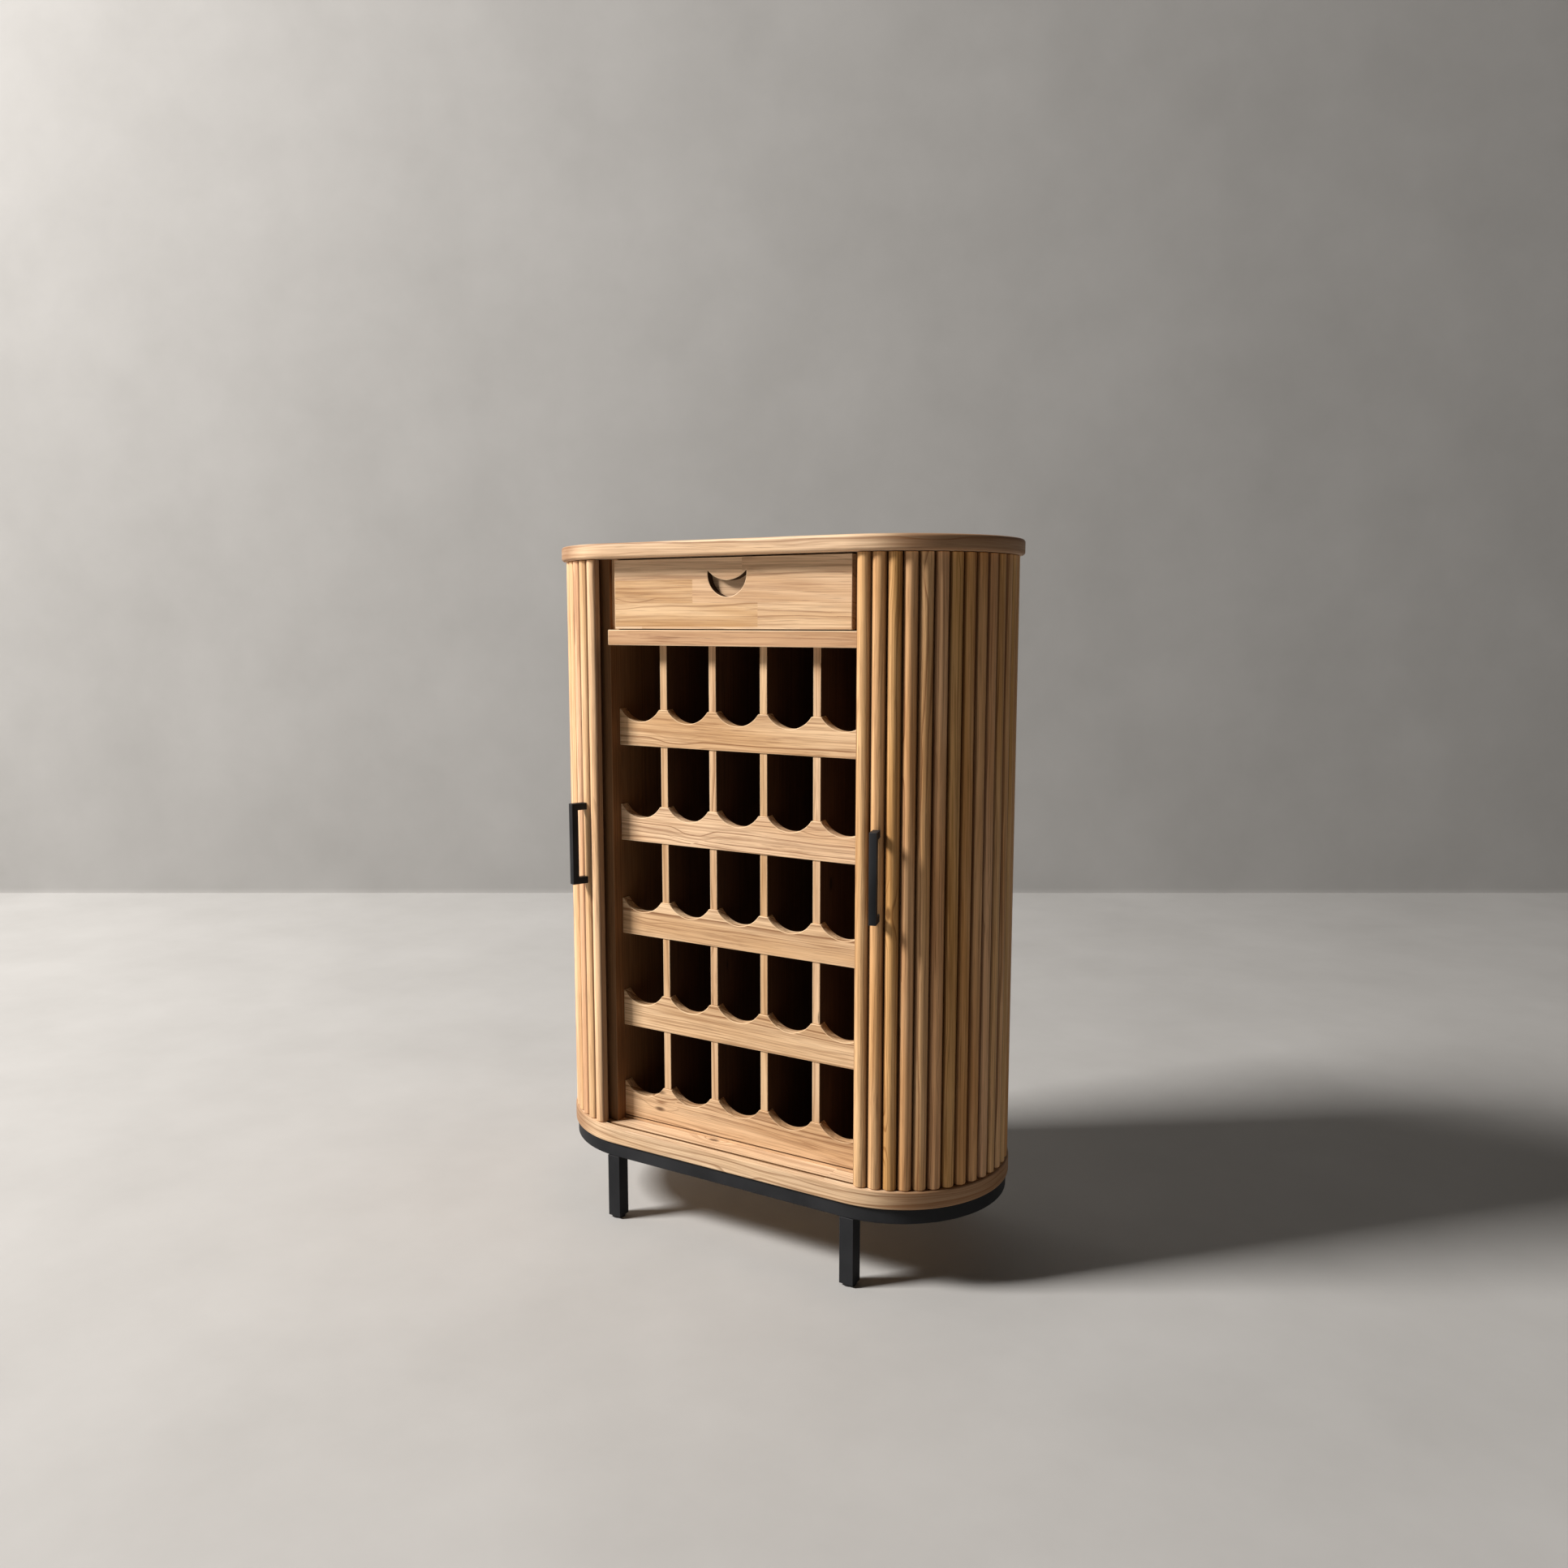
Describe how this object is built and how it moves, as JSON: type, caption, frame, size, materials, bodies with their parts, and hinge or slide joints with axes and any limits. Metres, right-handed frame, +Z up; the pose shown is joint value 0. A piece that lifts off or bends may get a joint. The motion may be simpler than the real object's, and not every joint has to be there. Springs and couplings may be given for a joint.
{
  "type": "wine cabinet",
  "caption": "Free-standing wine cabinet with rounded ends, sliding slatted doors, a scalloped rack for lying bottles, a drawer with a crescent pull and a black steel base frame.",
  "frame": {"origin": "on the floor, under the middle of the plan", "axes": "+Z up; the front with the drawer and the bottle rack faces -Y; +X to the right of someone facing it"},
  "size_m": [0.858, 0.4128, 1.2],
  "materials": {
    "slat_wood": "oiled, fine vertical grain",
    "board_wood": "oiled, satin",
    "inner_wood": "oiled, darker",
    "black_steel": "matt black powder coat",
    "zinc_screw": "zinc plated",
    "black_plastic": "moulded",
    "canvas": "plain woven canvas"
  },
  "bodies": {
    "cabinet": {"back_panel": "inner_wood", "base_board": "board_wood", "drawer_guides": "inner_wood", "drawer_shelf": "board_wood", "frame_screws": "zinc_screw", "front_bottle_rail_1": "board_wood", "front_bottle_rail_2": "board_wood", "front_bottle_rail_3": "board_wood", "front_bottle_rail_4": "board_wood", "front_bottle_rail_5": "board_wood", "front_left_leg": "black_steel", "front_right_leg": "black_steel", "left_end_shell": "inner_wood", "left_side_panel": "inner_wood", "rack_divider_1": "board_wood", "rack_divider_2": "board_wood", "rack_divider_3": "board_wood", "rack_divider_4": "board_wood", "rear_bottle_rails": "inner_wood", "rear_left_leg": "black_steel", "rear_right_leg": "black_steel", "right_end_shell": "inner_wood", "right_side_panel": "inner_wood", "ring_frame": "black_steel", "top_board": "board_wood"},
    "drawer": {"drawer_back": "inner_wood", "drawer_bottom": "inner_wood", "drawer_front": "board_wood", "drawer_left_side": "inner_wood", "drawer_right_side": "inner_wood"},
    "left_door": {"left_end_slats": "slat_wood", "left_door_canvas": "canvas"},
    "left_slat_01_body": {"left_slat_01": "slat_wood"},
    "left_slat_02_body": {"left_slat_02": "slat_wood", "left_handle": "black_steel"},
    "left_slat_03_body": {"left_slat_03": "slat_wood"},
    "left_slat_04_body": {"left_slat_04": "slat_wood"},
    "left_slat_05_body": {"left_slat_05": "slat_wood"},
    "left_slat_06_body": {"left_slat_06": "slat_wood"},
    "left_slat_07_body": {"left_slat_07": "slat_wood"},
    "left_slat_08_body": {"left_slat_08": "slat_wood"},
    "left_slat_09_body": {"left_slat_09": "slat_wood"},
    "left_slat_10_body": {"left_slat_10": "slat_wood"},
    "right_door": {"right_end_slats": "slat_wood", "right_door_canvas": "canvas"},
    "right_slat_01_body": {"right_slat_01": "slat_wood"},
    "right_slat_02_body": {"right_slat_02": "slat_wood", "right_handle": "black_steel"},
    "right_slat_03_body": {"right_slat_03": "slat_wood"},
    "right_slat_04_body": {"right_slat_04": "slat_wood"},
    "right_slat_05_body": {"right_slat_05": "slat_wood"},
    "right_slat_06_body": {"right_slat_06": "slat_wood"},
    "right_slat_07_body": {"right_slat_07": "slat_wood"},
    "right_slat_08_body": {"right_slat_08": "slat_wood"},
    "right_slat_09_body": {"right_slat_09": "slat_wood"},
    "right_slat_10_body": {"right_slat_10": "slat_wood"},
    "front_left_foot": {"front_left_glide": "black_plastic"},
    "front_right_foot": {"front_right_glide": "black_plastic"},
    "rear_left_foot": {"rear_left_glide": "black_plastic"},
    "rear_right_foot": {"rear_right_glide": "black_plastic"}
  },
  "joints": [
    {"name": "drawer_slide", "type": "slide", "parent": "cabinet", "child": "drawer", "axis": [0, -1, 0], "range_m": [0, 0.23]},
    {"name": "left_door_run", "type": "hinge", "parent": "cabinet", "child": "left_door", "pos_m": [-0.229, 0, 0.172], "axis": [0, 0, -1], "range_deg": [-84, 0]},
    {"name": "left_slat_01_run", "type": "hinge", "parent": "cabinet", "child": "left_slat_01_body", "pos_m": [-0.1205, 0.89939, 0.172], "axis": [0, 0, -1], "range_deg": [-13.77, 0]},
    {"name": "left_slat_02_run", "type": "hinge", "parent": "cabinet", "child": "left_slat_02_body", "pos_m": [-0.132, 0.51825, 0.172], "axis": [0, 0, -1], "range_deg": [-21.21, 0]},
    {"name": "left_slat_03_run", "type": "hinge", "parent": "cabinet", "child": "left_slat_03_body", "pos_m": [-0.1435, 0.33485, 0.172], "axis": [0, 0, -1], "range_deg": [-28.66, 0]},
    {"name": "left_slat_04_run", "type": "hinge", "parent": "cabinet", "child": "left_slat_04_body", "pos_m": [-0.155, 0.22712, 0.172], "axis": [0, 0, -1], "range_deg": [-36.1, 0]},
    {"name": "left_slat_05_run", "type": "hinge", "parent": "cabinet", "child": "left_slat_05_body", "pos_m": [-0.1665, 0.15651, 0.172], "axis": [0, 0, -1], "range_deg": [-43.55, 0]},
    {"name": "left_slat_06_run", "type": "hinge", "parent": "cabinet", "child": "left_slat_06_body", "pos_m": [-0.178, 0.10696, 0.172], "axis": [0, 0, -1], "range_deg": [-50.99, 0]},
    {"name": "left_slat_07_run", "type": "hinge", "parent": "cabinet", "child": "left_slat_07_body", "pos_m": [-0.1895, 0.07064, 0.172], "axis": [0, 0, -1], "range_deg": [-58.44, 0]},
    {"name": "left_slat_08_run", "type": "hinge", "parent": "cabinet", "child": "left_slat_08_body", "pos_m": [-0.201, 0.04322, 0.172], "axis": [0, 0, -1], "range_deg": [-65.88, 0]},
    {"name": "left_slat_09_run", "type": "hinge", "parent": "cabinet", "child": "left_slat_09_body", "pos_m": [-0.2125, 0.02217, 0.172], "axis": [0, 0, -1], "range_deg": [-73.33, 0]},
    {"name": "left_slat_10_run", "type": "hinge", "parent": "cabinet", "child": "left_slat_10_body", "pos_m": [-0.224, 0.00588, 0.172], "axis": [0, 0, -1], "range_deg": [-80.77, 0]},
    {"name": "right_door_run", "type": "hinge", "parent": "cabinet", "child": "right_door", "pos_m": [0.229, 0, 0.172], "axis": [0, 0, 1], "range_deg": [-79.15, 0]},
    {"name": "right_slat_01_run", "type": "hinge", "parent": "cabinet", "child": "right_slat_01_body", "pos_m": [0.1205, 1.39388, 0.172], "axis": [0, 0, 1], "range_deg": [-8.91, 0]},
    {"name": "right_slat_02_run", "type": "hinge", "parent": "cabinet", "child": "right_slat_02_body", "pos_m": [0.132, 0.67534, 0.172], "axis": [0, 0, 1], "range_deg": [-16.36, 0]},
    {"name": "right_slat_03_run", "type": "hinge", "parent": "cabinet", "child": "right_slat_03_body", "pos_m": [0.1435, 0.40586, 0.172], "axis": [0, 0, 1], "range_deg": [-23.8, 0]},
    {"name": "right_slat_04_run", "type": "hinge", "parent": "cabinet", "child": "right_slat_04_body", "pos_m": [0.155, 0.2647, 0.172], "axis": [0, 0, 1], "range_deg": [-31.25, 0]},
    {"name": "right_slat_05_run", "type": "hinge", "parent": "cabinet", "child": "right_slat_05_body", "pos_m": [0.1665, 0.17806, 0.172], "axis": [0, 0, 1], "range_deg": [-38.69, 0]},
    {"name": "right_slat_06_run", "type": "hinge", "parent": "cabinet", "child": "right_slat_06_body", "pos_m": [0.178, 0.11978, 0.172], "axis": [0, 0, 1], "range_deg": [-46.14, 0]},
    {"name": "right_slat_07_run", "type": "hinge", "parent": "cabinet", "child": "right_slat_07_body", "pos_m": [0.1895, 0.07824, 0.172], "axis": [0, 0, 1], "range_deg": [-53.58, 0]},
    {"name": "right_slat_08_run", "type": "hinge", "parent": "cabinet", "child": "right_slat_08_body", "pos_m": [0.201, 0.04752, 0.172], "axis": [0, 0, 1], "range_deg": [-61.03, 0]},
    {"name": "right_slat_09_run", "type": "hinge", "parent": "cabinet", "child": "right_slat_09_body", "pos_m": [0.2125, 0.02425, 0.172], "axis": [0, 0, 1], "range_deg": [-68.47, 0]},
    {"name": "right_slat_10_run", "type": "hinge", "parent": "cabinet", "child": "right_slat_10_body", "pos_m": [0.224, 0.00641, 0.172], "axis": [0, 0, 1], "range_deg": [-75.92, 0]},
    {"name": "front_left_foot_turn", "type": "hinge", "parent": "cabinet", "child": "front_left_foot", "pos_m": [-0.2375, -0.1775, 0], "axis": [0, 0, 1], "range_deg": [-180, 180]},
    {"name": "front_right_foot_turn", "type": "hinge", "parent": "cabinet", "child": "front_right_foot", "pos_m": [0.2375, -0.1775, 0], "axis": [0, 0, 1], "range_deg": [-180, 180]},
    {"name": "rear_left_foot_turn", "type": "hinge", "parent": "cabinet", "child": "rear_left_foot", "pos_m": [-0.2375, 0.1775, 0], "axis": [0, 0, 1], "range_deg": [-180, 180]},
    {"name": "rear_right_foot_turn", "type": "hinge", "parent": "cabinet", "child": "rear_right_foot", "pos_m": [0.2375, 0.1775, 0], "axis": [0, 0, 1], "range_deg": [-180, 180]}
  ],
  "couplings": [
    {"joint": "left_slat_01_run", "follows": "left_door_run", "ratio": 0.16378},
    {"joint": "left_slat_02_run", "follows": "left_door_run", "ratio": 0.25241},
    {"joint": "left_slat_03_run", "follows": "left_door_run", "ratio": 0.34104},
    {"joint": "left_slat_04_run", "follows": "left_door_run", "ratio": 0.42967},
    {"joint": "left_slat_05_run", "follows": "left_door_run", "ratio": 0.5183},
    {"joint": "left_slat_06_run", "follows": "left_door_run", "ratio": 0.60694},
    {"joint": "left_slat_07_run", "follows": "left_door_run", "ratio": 0.69557},
    {"joint": "left_slat_08_run", "follows": "left_door_run", "ratio": 0.7842},
    {"joint": "left_slat_09_run", "follows": "left_door_run", "ratio": 0.87283},
    {"joint": "left_slat_10_run", "follows": "left_door_run", "ratio": 0.96146},
    {"joint": "right_slat_01_run", "follows": "right_door_run", "ratio": 0.11247},
    {"joint": "right_slat_02_run", "follows": "right_door_run", "ratio": 0.20654},
    {"joint": "right_slat_03_run", "follows": "right_door_run", "ratio": 0.30061},
    {"joint": "right_slat_04_run", "follows": "right_door_run", "ratio": 0.39468},
    {"joint": "right_slat_05_run", "follows": "right_door_run", "ratio": 0.48875},
    {"joint": "right_slat_06_run", "follows": "right_door_run", "ratio": 0.58282},
    {"joint": "right_slat_07_run", "follows": "right_door_run", "ratio": 0.67689},
    {"joint": "right_slat_08_run", "follows": "right_door_run", "ratio": 0.77096},
    {"joint": "right_slat_09_run", "follows": "right_door_run", "ratio": 0.86503},
    {"joint": "right_slat_10_run", "follows": "right_door_run", "ratio": 0.9591}
  ]
}
